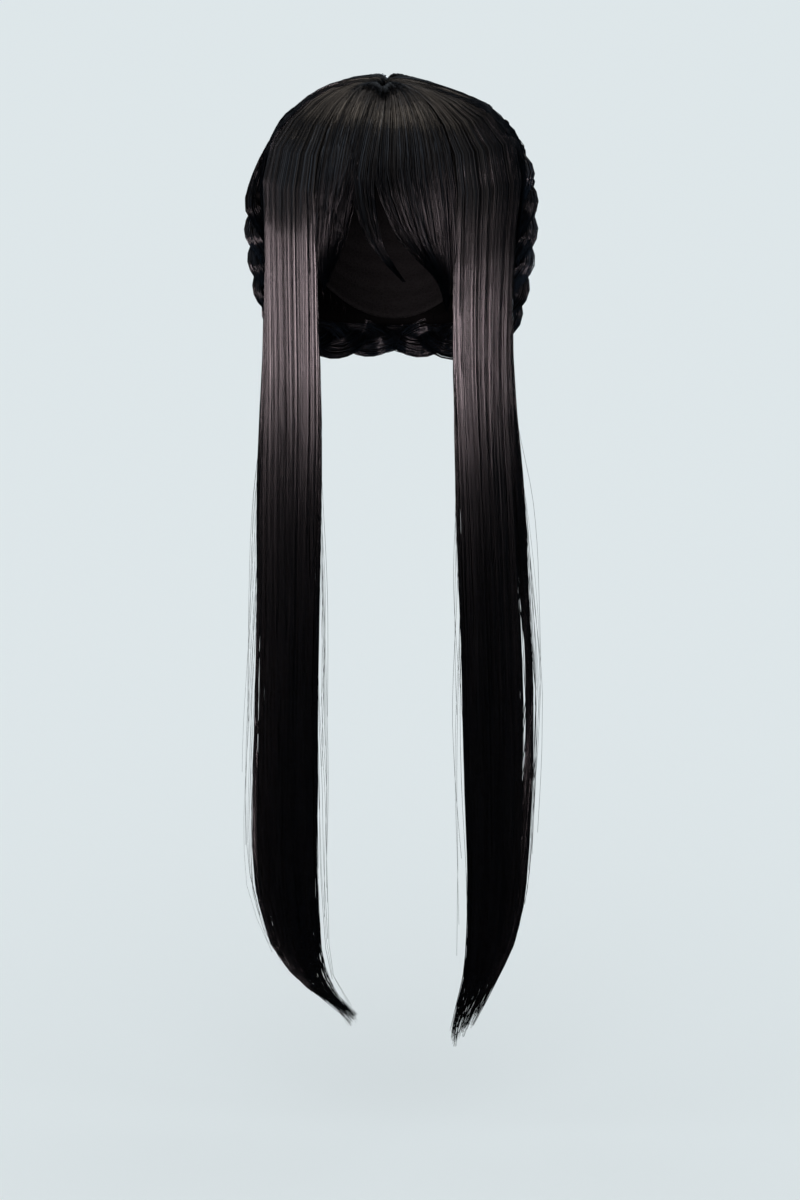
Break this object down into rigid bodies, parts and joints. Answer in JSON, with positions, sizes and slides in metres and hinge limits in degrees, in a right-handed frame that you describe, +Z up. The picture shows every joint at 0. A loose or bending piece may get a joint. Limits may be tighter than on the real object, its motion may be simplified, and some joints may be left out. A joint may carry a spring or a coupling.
{
  "type": "long straight costume wig with bangs and side braids",
  "caption": "Long straight black wig: hollow cap, centre-parted crown hair, swept brow-length bangs, long hanging sidelocks and plaited side braids that meet at the nape.",
  "frame": {"origin": "inside top of the cap, where the crown of the head sits", "axes": "+Z up along the hanging hair, -Y the way the face looks, +X to the right as seen from the front"},
  "size_m": [0.2056, 0.2236, 0.6661],
  "materials": {
    "fibre": "straight black synthetic hair fibre with a soft warm sheen",
    "cap_net": "matt black stretch net with sewn rows"
  },
  "bodies": {
    "root": {"wig_cap": "cap_net", "crown_hair": "fibre", "bangs": "fibre", "sidelock_left": "fibre", "sidelock_right": "fibre", "braid_left": "fibre", "braid_right": "fibre"}
  },
  "joints": []
}
